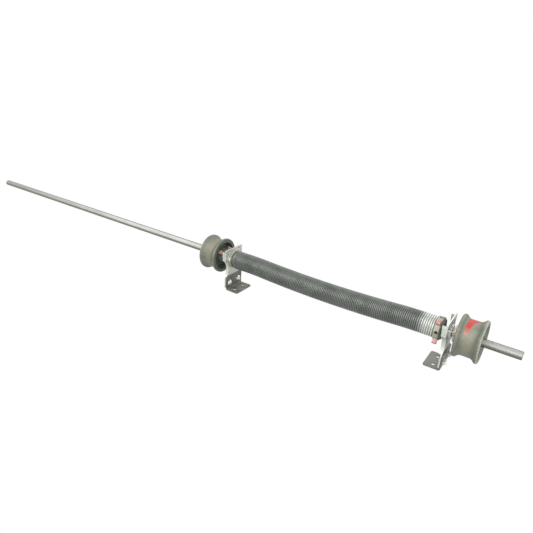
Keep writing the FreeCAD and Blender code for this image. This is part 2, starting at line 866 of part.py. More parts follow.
def make_spring():
    """Ridged tube: one ridge a turn, close-wound in short straight runs and wider at the winding end."""
    close_edges, open_edge = spring_path()
    close_path = Part.Wire(close_edges)
    run_turns = int(number("turns_per_run"))
    runs = round(close_path.Length / number("wire_diameter") / run_turns)
    stations = close_path.discretize(Number=runs + 1)
    shallow = number("close_turn_depth")
    rings = []
    for index in range(runs):
        here, there = stations[index], stations[index + 1]
        bend = there - stations[max(index - 1, 0)]
        rings += turn_rings(here, there, bend, run_turns, shallow, shallow)
    end = open_edge.valueAt(open_edge.LastParameter)
    deep = number("open_turn_depth")
    open_turns = int(number("open_coil_turns"))
    tail = end - stations[-1]
    rings += turn_rings(stations[-1], end, tail, open_turns, shallow, deep)
    rings.append(ring_wire(end, tail, number("spring_inside_radius + wire_diameter") - deep))
    ridged = Part.makeLoft(rings, True, True)

    inside = ring_wire(stations[0], stations[1] - stations[0], number("spring_inside_radius"))
    room = Part.Wire(close_edges + [open_edge]).makePipeShell([inside], True, False)
    spring = doc.addObject("Part::Feature", "spring_wire")
    spring.Shape = ridged.cut(room)
    print("spring turns %d, solid %.0f" % (runs * run_turns + open_turns, spring.Shape.Volume))
    keep(spring, "torsion_spring")


make_shaft()
for side in SIDES:
    make_drum(side)
    make_angle(side)
    make_plate(side)
    make_bearing(side)
    make_bracket_bolts(side)
make_stationary_cone()
make_winding_cone()
make_spring()
doc.recompute()

# Every object has to have come out whole before anything is written
for thing in doc.Objects:
    if "Invalid" in thing.State or "Error" in thing.State:
        raise RuntimeError("%s failed: %s" % (thing.Name, thing.State))
os.makedirs("parts", exist_ok=True)
for node in NODES:
    shape = node.Shape
    if shape.isNull() or not shape.isValid():
        raise RuntimeError(node.Label + " has no valid shape")
    shape.exportStep("parts/%s.step" % node.Label)
    print("%-26s %d solid(s) %10.1f mm3" % (node.Label, len(shape.Solids), shape.Volume))
print(len(NODES), "nodes")
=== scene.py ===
# %% [markdown]
# # Ramp door spring
# A torsion spring sits on a long bar between two bracket bearings. Cable drums are screwed to the bar,
# and winding the spring makes the drums pull the ramp up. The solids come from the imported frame, in
# metres, so this lesson only dresses them: it winds the real wire of the spring, adds a plain red
# patch, and gives every surface its finish.

import json
import math

import bpy
import numpy as np
from mathutils import Matrix, Vector


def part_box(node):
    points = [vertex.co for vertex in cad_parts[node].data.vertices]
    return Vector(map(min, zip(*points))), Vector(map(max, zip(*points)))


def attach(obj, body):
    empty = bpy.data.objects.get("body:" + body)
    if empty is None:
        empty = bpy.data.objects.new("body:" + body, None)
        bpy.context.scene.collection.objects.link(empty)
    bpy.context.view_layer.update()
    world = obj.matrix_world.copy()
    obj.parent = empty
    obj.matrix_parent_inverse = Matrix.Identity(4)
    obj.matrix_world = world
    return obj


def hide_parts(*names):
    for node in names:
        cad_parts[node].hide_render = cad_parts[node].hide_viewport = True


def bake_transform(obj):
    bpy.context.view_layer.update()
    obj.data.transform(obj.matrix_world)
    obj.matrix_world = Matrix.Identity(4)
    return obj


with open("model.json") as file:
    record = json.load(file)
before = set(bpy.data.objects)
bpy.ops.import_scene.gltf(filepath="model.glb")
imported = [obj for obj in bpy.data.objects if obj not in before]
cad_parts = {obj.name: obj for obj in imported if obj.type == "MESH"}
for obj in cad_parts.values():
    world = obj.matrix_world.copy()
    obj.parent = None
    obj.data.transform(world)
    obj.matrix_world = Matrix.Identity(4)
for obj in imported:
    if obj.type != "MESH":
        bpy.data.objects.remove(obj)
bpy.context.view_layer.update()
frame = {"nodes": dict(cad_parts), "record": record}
nodes = frame["nodes"]

# %% [markdown]
# ## Where things are
# The bar's axis is the line that everything else turns about, so its height is read from the bar's own
# box. The spring's ends and radius are read the same way. Measuring the frame, rather than copying
# numbers, keeps every new piece seated when the solids change.

# %% Measure the frame
MM = 0.001
bar_low, bar_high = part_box("shaft")
AXIS_Z = (bar_low.z + bar_high.z) / 2
spring_low, spring_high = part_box("torsion_spring")
SPRING_START = spring_low.x
SPRING_END = spring_high.x
SPRING_RADIUS = (spring_high.y - spring_low.y) / 2
SPRING_SAG = (AXIS_Z - spring_low.z) - SPRING_RADIUS
print("axis height %.4f, spring radius %.4f, sag %.4f" % (AXIS_Z, SPRING_RADIUS, SPRING_SAG))

# %% [markdown]
# ## Colours as they are seen
# A colour is easiest to judge on a screen, as three numbers from 0 to 255. Shaders work with light, so
# each number goes through the screen's curve first.


# %% Screen colours to light
def seen(red, green, blue):
    """Light values of a screen colour: the sRGB curve undone, with full opacity."""
    shares = np.array([red, green, blue]) / 255
    light = np.where(shares <= 0.04045, shares / 12.92, ((shares + 0.055) / 1.055) ** 2.4)
    return (*light.tolist(), 1.0)


# %% [markdown]
# ## Shared effects
# Cast, rolled and plated metal all vary in the same few ways: broad stains, fine grain, and a change
# with the place about the bar's axis, which sets zones of colour such as painted shade in recesses near
# the axis and under the bar. Each effect is one node group with named sockets, so every finish can use it
# at its own scale.


# %% Node helpers
NOISE_ROUGHNESS = 0.55


def feed(tree, source, socket):
    """Set a socket to a plain number or colour, or link another socket to it."""
    if isinstance(source, (int, float, tuple)):
        socket.default_value = source
    else:
        tree.links.new(source, socket)


def new_group(name, inputs, outputs):
    """Empty shader group with float or vector inputs and float outputs."""
    tree = bpy.data.node_groups.new(name, "ShaderNodeTree")
    for label, kind, value in inputs:
        socket = tree.interface.new_socket(label, in_out="INPUT", socket_type=kind)
        if value is not None:
            socket.default_value = value
    for label in outputs:
        tree.interface.new_socket(label, in_out="OUTPUT", socket_type="NodeSocketFloat")
    return tree, tree.nodes.new("NodeGroupInput"), tree.nodes.new("NodeGroupOutput")


def math_node(tree, operation, *sources):
    """One Math node fed with numbers or sockets, in order."""
    node = tree.nodes.new("ShaderNodeMath")
    node.operation = operation
    for source, socket in zip(sources, node.inputs):
        feed(tree, source, socket)
    return node.outputs[0]


def noise_node(tree, vector, scale, detail):
    """Noise texture that reads the given vector; the scale may be a number or a socket."""
    node = tree.nodes.new("ShaderNodeTexNoise")
    node.inputs["Detail"].default_value = detail
    node.inputs["Roughness"].default_value = NOISE_ROUGHNESS
    tree.links.new(vector, node.inputs["Vector"])
    feed(tree, scale, node.inputs["Scale"])
    return node.outputs["Fac"]


def step_node(tree, source, low, high):
    """Map Range with a smooth step from 0 at low to 1 at high."""
    node = tree.nodes.new("ShaderNodeMapRange")
    node.interpolation_type = "SMOOTHSTEP"
    feed(tree, low, node.inputs["From Min"])
    feed(tree, high, node.inputs["From Max"])
    tree.links.new(source, node.inputs["Value"])
    return node.outputs["Result"]


def rest_of(tree, mask):
    """What a mask leaves out: one minus the mask."""
    return math_node(tree, "SUBTRACT", 1.0, mask)


# %% Stain, grain and axis groups
STAIN_EDGES = (0.34, 0.68)


def make_skin_group():
    """Broad stain and fine grain: two noises at two scales, the stain stretched to full contrast."""
    inputs = (
        ("Vector", "NodeSocketVector", None),
        ("Stain Scale", "NodeSocketFloat", 25.0),
        ("Grain Scale", "NodeSocketFloat", 900.0),
    )
    tree, start, end = new_group("metal_skin", inputs, ("Stain", "Grain"))
    stain = noise_node(tree, start.outputs["Vector"], start.outputs["Stain Scale"], detail=4.0)
    tree.links.new(step_node(tree, stain, *STAIN_EDGES), end.inputs["Stain"])
    grain = noise_node(tree, start.outputs["Vector"], start.outputs["Grain Scale"], detail=2.0)
    tree.links.new(grain, end.inputs["Grain"])
    return tree


def make_axis_group():
    """A point's distance from the bar's axis, its place along the bar and its height below the axis."""
    inputs = (("Vector", "NodeSocketVector", None),)
    tree, start, end = new_group("from_axis", inputs, ("Radius", "Along", "Below"))
    split = tree.nodes.new("ShaderNodeSeparateXYZ")
    tree.links.new(start.outputs["Vector"], split.inputs[0])
    height = math_node(tree, "SUBTRACT", split.outputs["Z"], AXIS_Z)
    sideways = math_node(tree, "MULTIPLY", split.outputs["Y"], split.outputs["Y"])
    upright = math_node(tree, "MULTIPLY", height, height)
    squares = math_node(tree, "ADD", sideways, upright)
    tree.links.new(math_node(tree, "SQRT", squares), end.inputs["Radius"])
    tree.links.new(split.outputs["X"], end.inputs["Along"])
    tree.links.new(math_node(tree, "MULTIPLY", height, -1.0), end.inputs["Below"])
    return tree


SKIN = make_skin_group()
FROM_AXIS = make_axis_group()
print("groups:", SKIN.name, FROM_AXIS.name)


# %% Material helpers
class Finish:
    """A material with one Principled shader, its object coordinates and short ways to add nodes."""

    def __init__(self, name, metallic, roughness):
        self.material = bpy.data.materials.new(name)
        self.material.use_nodes = True
        self.tree = self.material.node_tree
        self.shader = self.tree.nodes["Principled BSDF"]
        self.shader.inputs["Metallic"].default_value = metallic
        self.shader.inputs["Roughness"].default_value = roughness
        self.place = self.tree.nodes.new("ShaderNodeTexCoord").outputs["Object"]

    def group(self, tree, **values):
        """Place a shared group on the object's coordinates; returns its outputs."""
        node = self.tree.nodes.new("ShaderNodeGroup")
        node.node_tree = tree
        self.tree.links.new(self.place, node.inputs["Vector"])
        for label, value in values.items():
            node.inputs[label.replace("_", " ")].default_value = value
        return node.outputs

    def stretched(self, scale):
        """Object coordinates scaled apart on each axis."""
        node = self.tree.nodes.new("ShaderNodeMapping")
        node.inputs["Scale"].default_value = scale
        self.tree.links.new(self.place, node.inputs["Vector"])
        return node.outputs[0]

    def mix(self, share, first, second):
        """Colour between two colours or sockets, by a mask; a Mix node's colours are inputs 6 and 7."""
        node = self.tree.nodes.new("ShaderNodeMix")
        node.data_type = "RGBA"
        for source, index in zip((share, first, second), (0, 6, 7)):
            feed(self.tree, source, node.inputs[index])
        return node.outputs[2]

    def tint(self, mask, strength, under, over):
        """Lay a colour over another where a mask says so, at most as strongly as given."""
        return self.mix(self.between(mask, 0.0, strength), under, over)

    def attribute(self, name):
        """Value that a mesh stores at its points."""
        node = self.tree.nodes.new("ShaderNodeAttribute")
        node.attribute_name = name
        return node.outputs["Fac"]

    def between(self, share, low, high):
        """Value that runs from low to high as a mask runs from 0 to 1."""
        node = self.tree.nodes.new("ShaderNodeMapRange")
        node.inputs["To Min"].default_value = low
        node.inputs["To Max"].default_value = high
        self.tree.links.new(share, node.inputs["Value"])
        return node.outputs["Result"]

    def turned_away(self, start, full):
        """Mask that is 0 where the surface faces the eye and 1 where it turns away."""
        node = self.tree.nodes.new("ShaderNodeLayerWeight")
        return step_node(self.tree, node.outputs["Facing"], start, full)

    def colour(self, socket):
        self.tree.links.new(socket, self.shader.inputs["Base Color"])

    def rough(self, socket):
        self.tree.links.new(socket, self.shader.inputs["Roughness"])

    def bump(self, height, distance, strength):
        """Relief of the given depth in metres."""
        node = self.tree.nodes.new("ShaderNodeBump")
        node.inputs["Distance"].default_value = distance
        node.inputs["Strength"].default_value = strength
        self.tree.links.new(height, node.inputs["Height"])
        self.tree.links.new(node.outputs["Normal"], self.shader.inputs["Normal"])


# %% [markdown]
# ## The bar
# The bar is drawn steel with bright zinc on it. Drawing leaves fine streaks along its length and handling
# leaves dull patches. A noise that is squeezed hard along X gives the streaks, and the same streaks
# drive colour and a very shallow bump. The zinc is a little cloudy, so light from above shades it softly,
# and its stains are rougher. Its colour is painted darker where the surface turns away from the eye, as
# painted shade and reflection at its edges, and this painted edge shade reaches further round towards the
# right end. It is greyer towards its far left end and on the short right end. Its underside is painted
# darker as painted shade, read from the height below the axis.


# %% Zinc on the bar
STREAK_STRETCH = (6.0, 420.0, 420.0)
UNDERSIDE_SHADE = (-4.5 * MM, 1.0 * MM)
FAR_END = (bar_low.x, bar_low.x + 0.8)
RIGHT_END_GREY = (bar_high.x - 0.12, bar_high.x - 0.06)
EDGE_SHADE_START = (0.56, 0.1)
EDGE_SHADE_FULL = (0.86, 0.6)


def bright_bar():
    """Streaked zinc with painted edge and underside shade; EDGE_SHADE_START and EDGE_SHADE_FULL set the
    edge shade's reach.
    """
    finish = Finish("bright_zinc_bar", metallic=0.2, roughness=0.3)
    tree = finish.tree
    streak = noise_node(tree, finish.stretched(STREAK_STRETCH), 1.0, detail=4.0)
    skin = finish.group(SKIN, Stain_Scale=14.0, Grain_Scale=1500.0)
    axis = finish.group(FROM_AXIS)
    base = finish.mix(streak, seen(200, 199, 192), seen(226, 225, 219))
    dulled = finish.tint(skin["Stain"], 0.25, base, seen(146, 142, 128))
    # Greyer towards the far left end and on the short right end.
    far = finish.between(step_node(tree, axis["Along"], *FAR_END), 0.8, 0.0)
    right_end_grey = finish.between(step_node(tree, axis["Along"], *RIGHT_END_GREY), 0.0, 0.65)
    greyed_ends = finish.mix(math_node(tree, "MAXIMUM", far, right_end_grey), dulled, seen(150, 149, 141))
    # Painted shade: the underside is painted darker, from the height below the axis.
    under = step_node(tree, axis["Below"], *UNDERSIDE_SHADE)
    underside_shaded = finish.tint(under, 0.85, greyed_ends, seen(98, 97, 88))
    from_left = math_node(tree, "SUBTRACT", axis["Along"], bar_low.x)
    share = math_node(tree, "DIVIDE", from_left, bar_high.x - bar_low.x)
    # Painted shade and reflection: the colour darkens where the surface turns away from the eye.
    away = finish.turned_away(finish.between(share, *EDGE_SHADE_START), finish.between(share, *EDGE_SHADE_FULL))
    finish.colour(finish.mix(away, underside_shaded, seen(72, 72, 64)))
    finish.rough(finish.between(skin["Stain"], 0.2, 0.32))
    finish.bump(streak, 0.2 * MM, 0.35)
    return finish.material


# %% [markdown]
# ## The castings
# Drums and cones are die cast and left as cast: a grey skin with a green-brown tint and a fine orange-peel
# grain, with painted shade where the surface turns away from the eye. A drum's barrel is tan and lighter
# in the middle, and its deep recess and inner face are painted dark on the side that faces the spring, as
# painted shade. A cone is painted dark in its bore and at its collar's end, as painted shade. The zones
# are rings, so each is a step over the distance from the axis or from the drum's middle. Each drum has its
# own copy of the finish, because its middle and its inner side differ and its hub is painted at its own
# light level.


# %% As-cast alloy
CAST_EDGE_SHADE = (0.55, 1.0)


def as_cast(name, light, dark):
    """Finish with the mottled as-cast colour and painted shade at its edges; returns the finish and the
    colour's socket.
    """
    finish = Finish(name, metallic=0.2, roughness=0.55)
    skin = finish.group(SKIN, Stain_Scale=32.0, Grain_Scale=700.0)
    finish.rough(finish.between(skin["Grain"], 0.42, 0.68))
    finish.bump(skin["Grain"], 0.5 * MM, 0.5)
    mottled = finish.mix(skin["Stain"], dark, light)
    # Painted shade: the colour darkens where the surface turns away from the eye.
    return finish, finish.tint(finish.turned_away(*CAST_EDGE_SHADE), 0.6, mottled, seen(84, 88, 80))


# %% Drums
DRUM_WIDTH = 54.0 * MM
RECESS_SHADE = (4.0 * MM, 9.0 * MM)
BARREL_TAN = (3.0 * MM, 15.0 * MM)
INNER_LIP = (25.2 * MM, 26.6 * MM)
OUTER_LIP = (23.5 * MM, 25.5 * MM)
HUB_RADII = (19.8 * MM, 20.6 * MM)
OUTSIDE_RADII = (39.0 * MM, 40.0 * MM)
RIM_RADII = (44.0 * MM, 46.0 * MM)


def drum_alloy(name, node, inner, hub_lit_or_shaded):
    """Drum casting: tan middle, painted shade in the inner recess and on the inner face, a hub at its own
    painted light level, a pale outer rim.
    """
    finish, skin_colour = as_cast(name, seen(130, 133, 118), seen(108, 112, 99))
    tree = finish.tree
    low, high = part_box(node)
    outer_end = low.x if inner > 0 else high.x
    middle = outer_end + inner * DRUM_WIDTH / 2
    axis = finish.group(FROM_AXIS)
    along = math_node(tree, "SUBTRACT", axis["Along"], middle)
    inwards = math_node(tree, "MULTIPLY", along, inner)
    outwards = math_node(tree, "MULTIPLY", along, -inner)
    tan = rest_of(tree, step_node(tree, math_node(tree, "ABSOLUTE", along), *BARREL_TAN))
    barrel = finish.tint(tan, 0.7, skin_colour, seen(142, 139, 122))
    # Painted shade: the recess is painted dark on the side that faces the spring.
    recess_share = step_node(tree, inwards, *RECESS_SHADE)
    recess = finish.mix(recess_share, seen(150, 152, 138), seen(74, 90, 80))
    # Painted light and shade: the hub takes the colour given for this drum's light level.
    hub = rest_of(tree, step_node(tree, axis["Radius"], *HUB_RADII))
    outside = step_node(tree, axis["Radius"], *OUTSIDE_RADII)
    coloured = finish.mix(outside, finish.mix(hub, recess, hub_lit_or_shaded), barrel)
    # Painted shade: the inner face outside the barrel is painted darker.
    inner_face_shade = math_node(tree, "MULTIPLY", step_node(tree, inwards, *INNER_LIP), outside)
    inner_face_shaded = finish.tint(inner_face_shade, 0.85, coloured, seen(92, 100, 90))
    # The outer rim is paler.
    rim = step_node(tree, axis["Radius"], *RIM_RADII)
    pale_rim = math_node(tree, "MULTIPLY", step_node(tree, outwards, *OUTER_LIP), rim)
    finish.colour(finish.tint(pale_rim, 0.6, inner_face_shaded, seen(200, 199, 186)))
    return finish.material


# %% Cones
BORE_RADII = (17.5 * MM, 20.0 * MM)
WORN_RADII = (24.5 * MM, 26.8 * MM)
COLLAR_END = (SPRING_END + 9.0 * MM, SPRING_END + 13.0 * MM)


def cone_alloy():
    """Cone casting: painted shade in the bore and at the collar's end, worn pale on the largest diameters.
    """
    finish, skin_colour = as_cast("cone_casting", seen(176, 177, 163), seen(150, 153, 140))
    axis = finish.group(FROM_AXIS)
    # Painted shade: the bore is painted darker.
    open_face = step_node(finish.tree, axis["Radius"], *BORE_RADII)
    shaded = finish.mix(open_face, seen(104, 110, 100), skin_colour)
    worn = step_node(finish.tree, axis["Radius"], *WORN_RADII)
    pale_rim = finish.tint(worn, 0.45, shaded, seen(178, 179, 166))
    # Painted shade: the collar's end is painted dark.
    collar_end = step_node(finish.tree, axis["Along"], *COLLAR_END)
    finish.colour(finish.tint(collar_end, 0.8, pale_rim, seen(74, 78, 71)))
    return finish.material


# %% [markdown]
# ## Brackets and small steel
# The angle is hot rolled: dark scale with paler rubbed patches. The bearing plate is galvanised, which
# shows as soft crystal spangles, made with cells of a Voronoi texture. Screws are dipped in dull red,
# and the bolts and bearing rings are bright.


# %% Rolled, galvanised, dipped and bright steel
SPANGLE_SCALE = 170.0


def rolled_scale():
    """Dark mill scale on the angles."""
    finish = Finish("dark_rolled_scale", metallic=0.35, roughness=0.5)
    skin = finish.group(SKIN, Stain_Scale=60.0, Grain_Scale=1200.0)
    base = finish.mix(skin["Stain"], seen(98, 98, 89), seen(134, 134, 123))
    finish.colour(finish.tint(skin["Grain"], 0.4, base, seen(80, 80, 72)))
    finish.rough(finish.between(skin["Stain"], 0.38, 0.62))
    finish.bump(skin["Grain"], 0.2 * MM, 0.5)
    return finish.material


def galvanised_sheet():
    """Zinc spangles on the bearing plates."""
    finish = Finish("galvanised_sheet", metallic=0.45, roughness=0.42)
    cells = finish.tree.nodes.new("ShaderNodeTexVoronoi")
    cells.inputs["Scale"].default_value = SPANGLE_SCALE
    finish.tree.links.new(finish.place, cells.inputs["Vector"])
    spangle = finish.tree.nodes.new("ShaderNodeSeparateColor")
    finish.tree.links.new(cells.outputs["Color"], spangle.inputs[0])
    skin = finish.group(SKIN, Stain_Scale=45.0, Grain_Scale=1400.0)
    base = finish.mix(spangle.outputs[0], seen(194, 199, 189), seen(211, 215, 205))
    finish.colour(finish.tint(skin["Stain"], 0.4, base, seen(180, 184, 173)))
    finish.rough(finish.between(spangle.outputs[1], 0.42, 0.56))
    finish.bump(skin["Grain"], 0.1 * MM, 0.2)
    return finish.material


def dipped_red():
    """Dull red dip on the set screws."""
    finish = Finish("dipped_red", metallic=0.0, roughness=0.5)
    skin = finish.group(SKIN, Stain_Scale=160.0, Grain_Scale=1500.0)
    finish.colour(finish.mix(skin["Stain"], seen(180, 124, 119), seen(204, 164, 159)))
    finish.rough(finish.between(skin["Grain"], 0.38, 0.6))
    finish.bump(skin["Grain"], 0.1 * MM, 0.5)
    return finish.material


def bright_steel(name, light, dark, roughness):
    """Bright plating or ground steel on bolts, nuts and bearings."""
    finish = Finish(name, metallic=0.7, roughness=roughness)
    skin = finish.group(SKIN, Stain_Scale=120.0, Grain_Scale=2200.0)
    finish.colour(finish.mix(skin["Stain"], dark, light))
    finish.rough(finish.between(skin["Grain"], roughness - 0.08, roughness + 0.1))
    finish.bump(skin["Grain"], 0.05 * MM, 0.4)
    return finish.material


# %% [markdown]
# ## Spring wire
# Oil-tempered wire is dark grey; its colour is painted lighter on the outside of each turn and darker
# between the turns, as painted shade. The last open turns at the winding end are paler, and there the
# sides between the turns are painted lighter than the outside, as painted light. The painted shade and
# light follow the way that the wire's own surface faces, stored as an attribute when the wire is made.


# %% Tempered wire
PALE_START = SPRING_END - 44.0 * MM
PALE_FULL = PALE_START + 24.0 * MM


def tempered_wire():
    """Dark wire with painted shade between the turns, pale at the winding end with painted light on the
    sides between those turns.
    """
    finish = Finish("tempered_wire", metallic=0.55, roughness=0.42)
    skin = finish.group(SKIN, Stain_Scale=30.0, Grain_Scale=1600.0)
    axis = finish.group(FROM_AXIS)
    outer_face = finish.attribute("outer_face")
    base = finish.mix(skin["Stain"], seen(98, 102, 97), seen(114, 118, 113))
    # Painted shade: the sides between the turns are painted darker.
    shaded_between_turns = finish.mix(outer_face, seen(92, 96, 91), base)
    # Painted light: on the pale turns the sides between the turns are painted lighter than the outside.
    pale_turns_lit_sides = finish.mix(outer_face, seen(226, 230, 224), seen(192, 197, 190))
    pale = step_node(finish.tree, axis["Along"], PALE_START, PALE_FULL)
    finish.colour(finish.mix(pale, shaded_between_turns, pale_turns_lit_sides))
    finish.rough(finish.between(skin["Grain"], 0.35, 0.52))
    finish.bump(skin["Grain"], 0.1 * MM, 0.4)
    return finish.material


# %% [markdown]
# ## Dressing the solids
# The imported record names a material slot for each solid, so one table of finishes by slot dresses them
# all. Both drums share a slot, so the right drum's own copy of the casting is put on after the rest.

# %% Give every solid its finish
# Painted light and shade: both hubs are one casting, painted dark as shade on the left and pale as light
# on the right.
LEFT_DRUM = drum_alloy("left_drum_casting", "left_drum", 1, seen(118, 124, 112))
RIGHT_DRUM = drum_alloy("right_drum_casting", "right_drum", -1, seen(222, 218, 203))
FINISHES = {
    "shaft_zinc": bright_bar(),
    "drum_casting": LEFT_DRUM,
    "cone_casting": cone_alloy(),
    "red_screw": dipped_red(),
    "dark_angle": rolled_scale(),
    "pale_plate": galvanised_sheet(),
    "bearing_steel": bright_steel("ground_bearing_steel", seen(206, 206, 202), seen(176, 176, 172), 0.2),
    "bright_zinc": bright_steel("bright_zinc_bolts", seen(232, 232, 224), seen(206, 206, 196), 0.3),
    "spring_wire": tempered_wire(),
}
for entry in frame["record"]["subparts"]:
    solid = nodes[entry["node"]]
    solid.data.materials.clear()
    solid.data.materials.append(FINISHES[entry["material_slot"]])
nodes["right_drum"].data.materials[0] = RIGHT_DRUM
print("finishes:", len(FINISHES) + 1)

# %% [markdown]
# ## The spring's wire
# The solid under the spring is one bowed tube with a ridge for each turn. The real spring is a single
# wire wound into more than a hundred turns, so here a round section is carried along a helix. The helix
# follows the sagging centre line: level at both cones, and lowest half way. Turns touch along most of the
# length and open out at the winding end. Winding turns that end with the bar, but the sag always hangs
# down; this script winds the wire at rest and does not twist it.

# %% Path of the wire
WIRE_RADIUS = 2.25 * MM
OPEN_LENGTH = 42.0 * MM
OPEN_TURNS = 8.0
GRIP_LENGTH = 44.0 * MM
LEAD_SHARE = 0.2
SEGMENTS_PER_TURN = 52
SECTION_POINTS = 10
close_end = SPRING_END - OPEN_LENGTH
bow_start = SPRING_START + GRIP_LENGTH


def sag_line(x):
    """Drop and slope of the centre line at x: two lead arcs and one belly arc, tangent to each other."""
    span = close_end - bow_start
    steepest = 2 * math.atan(2 * SPRING_SAG / span)
    radius_sum = span / (2 * math.sin(steepest))
    lead = LEAD_SHARE * radius_sum
    belly = radius_sum - lead
    from_end = np.clip(np.minimum(x - bow_start, close_end - x), 0, span / 2)
    in_lead = from_end < lead * math.sin(steepest)
    lead_run = np.minimum(from_end, lead * math.sin(steepest))
    belly_run = np.minimum(span / 2 - from_end, belly * math.sin(steepest))
    lead_drop = lead - np.sqrt(lead**2 - lead_run**2)
    belly_drop = SPRING_SAG - belly + np.sqrt(belly**2 - belly_run**2)
    side = np.where(x < (bow_start + close_end) / 2, 1.0, -1.0)
    drop = np.where(in_lead, lead_drop, belly_drop)
    slope = np.where(in_lead, lead_run / lead, belly_run / belly) * side
    return drop, slope


def helix_line():
    """Centre of the wire: turn angle against x, one wire width a turn where close, wider where open."""
    close_turns = (close_end - SPRING_START) / (2 * WIRE_RADIUS)
    turns = close_turns + OPEN_TURNS
    turn = np.linspace(0, turns, int(turns * SEGMENTS_PER_TURN))
    start = SPRING_START + WIRE_RADIUS
    stop = SPRING_END - WIRE_RADIUS
    x = np.interp(turn, [0, close_turns, turns], [start, close_end, stop])
    drop, slope = sag_line(x)
    lean = np.arctan(slope)
    along = np.stack([np.cos(lean), np.zeros_like(x), -np.sin(lean)], axis=1)
    across = np.stack([np.sin(lean), np.zeros_like(x), np.cos(lean)], axis=1)
    sideways = np.array([0.0, 1.0, 0.0])
    centre = np.stack([x, np.zeros_like(x), AXIS_Z - drop], axis=1)
    angle = 2 * math.pi * turn[:, None]
    outward = np.cos(angle) * across + np.sin(angle) * sideways
    mean_radius = SPRING_RADIUS - WIRE_RADIUS
    return centre + mean_radius * outward, outward, along, turns


# %% Mesh helpers
def tube_faces(rows, columns):
    """Quads of a grid that closes round its columns, as one index array."""
    row, column = np.meshgrid(np.arange(rows - 1), np.arange(columns), indexing="ij")
    following = (column + 1) % columns
    corners = [row * columns + column, row * columns + following]
    corners += [(row + 1) * columns + following, (row + 1) * columns + column]
    return np.stack(corners, axis=-1).reshape(-1, 4)


def mesh_piece(name, points, faces, material, smooth=True):
    """Mesh object at the origin from an array of points and a list of faces."""
    mesh = bpy.data.meshes.new(name)
    mesh.from_pydata(points.tolist(), [], faces)
    mesh.update()
    if smooth:
        mesh.polygons.foreach_set("use_smooth", np.ones(len(mesh.polygons), dtype=bool))
    mesh.materials.append(material)
    piece = bpy.data.objects.new(name, mesh)
    bpy.context.scene.collection.objects.link(piece)
    return piece


def store_value(piece, name, values):
    """Keep one number for each point of a mesh, for its material to read."""
    attribute = piece.data.attributes.new(name, "FLOAT", "POINT")
    attribute.data.foreach_set("value", values.ravel().astype(np.float32))


# %% Wind the wire
OUTER_FACE_MIDDLE = 0.5
OUTER_FACE_GAIN = 0.75


def wind_spring():
    """Round section carried along the helix: centre + r (cos s outward + sin s along)."""
    centre, outward, along, turns = helix_line()
    section = np.linspace(0, 2 * math.pi, SECTION_POINTS, endpoint=False)
    ring = np.cos(section)[None, :, None] * outward[:, None, :]
    ring += np.sin(section)[None, :, None] * along[:, None, :]
    points = (centre[:, None, :] + WIRE_RADIUS * ring).reshape(-1, 3)
    rows = len(centre)
    faces = tube_faces(rows, SECTION_POINTS).tolist()
    faces.append(list(range(SECTION_POINTS)))
    faces.append(list(range(rows * SECTION_POINTS - 1, (rows - 1) * SECTION_POINTS - 1, -1)))
    piece = mesh_piece("spring_coils", points, faces, FINISHES["spring_wire"])
    # The outer_face value drives the painted shade and light between the turns.
    outer_face = np.clip(OUTER_FACE_MIDDLE + OUTER_FACE_GAIN * np.cos(section), 0, 1)
    store_value(piece, "outer_face", np.tile(outer_face, rows))
    print("wire turns %.1f, faces %d" % (turns, len(faces)))
    return piece


spring_coils = wind_spring()
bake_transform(spring_coils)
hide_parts("torsion_spring")

# %% [markdown]
# ## The red patch
# A plain red patch is stuck on the front of the right drum's barrel, on the half next to the spring. It
# is a thin sheet bent round the barrel, made as a grid of angle against length. Its radius follows the
# barrel: level in the middle, then rising along the round that leads up to the rim. One corner reaches
# along the top of the barrel, and the lower end is rubbed pale.

# %% Red patch on the drum
_, drum_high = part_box("right_drum")
drum_middle = drum_high.x - DRUM_WIDTH / 2
BARREL_RADIUS = 41.6 * MM
LEVEL_HALF = 8.66 * MM
FLARE_ROUND = 12.0 * MM
PATCH_LIFT = 0.06 * MM
PATCH_SPAN = (-12.5 * MM, -3.0 * MM)
PATCH_TOP_REACH = 14.0 * MM
PATCH_ANGLES = (-14.0, 56.0)
PATCH_SWEEP = 3
PATCH_FADE = (0.62, 1.0)
PATCH_GRID = (40, 24)


def barrel_at(offset):
    """Barrel radius at a distance from the drum's middle: level, then a quarter-round flare."""
    past = np.maximum(np.abs(offset) - LEVEL_HALF, 0)
    return BARREL_RADIUS + FLARE_ROUND - np.sqrt(FLARE_ROUND**2 - past**2)


def red_patch():
    """Sheet on the barrel: its far edge sweeps from the short front to the longer top."""
    shares = [np.linspace(0, 1, count) for count in PATCH_GRID]
    turn, across = np.meshgrid(*shares, indexing="ij")
    angle = np.radians(PATCH_ANGLES[0] + (PATCH_ANGLES[1] - PATCH_ANGLES[0]) * turn)
    reach = PATCH_SPAN[1] + (PATCH_TOP_REACH - PATCH_SPAN[1]) * (1 - turn) ** PATCH_SWEEP
    offset = PATCH_SPAN[0] + (reach - PATCH_SPAN[0]) * across
    radius = barrel_at(offset) + PATCH_LIFT
    places = [drum_middle + offset, -radius * np.sin(angle), AXIS_Z + radius * np.cos(angle)]
    points = np.stack(places, axis=-1)
    rows, columns = PATCH_GRID
    row, column = np.meshgrid(np.arange(rows - 1), np.arange(columns - 1), indexing="ij")
    first = (row * columns + column).ravel()
    faces = np.stack([first, first + columns, first + columns + 1, first + 1], axis=1)
    piece = mesh_piece("plain_red_patch", points.reshape(-1, 3), faces.tolist(), RED_PATCH)
    share = np.clip((turn - PATCH_FADE[0]) / (PATCH_FADE[1] - PATCH_FADE[0]), 0, 1)
    store_value(piece, "faded", share)
    return piece


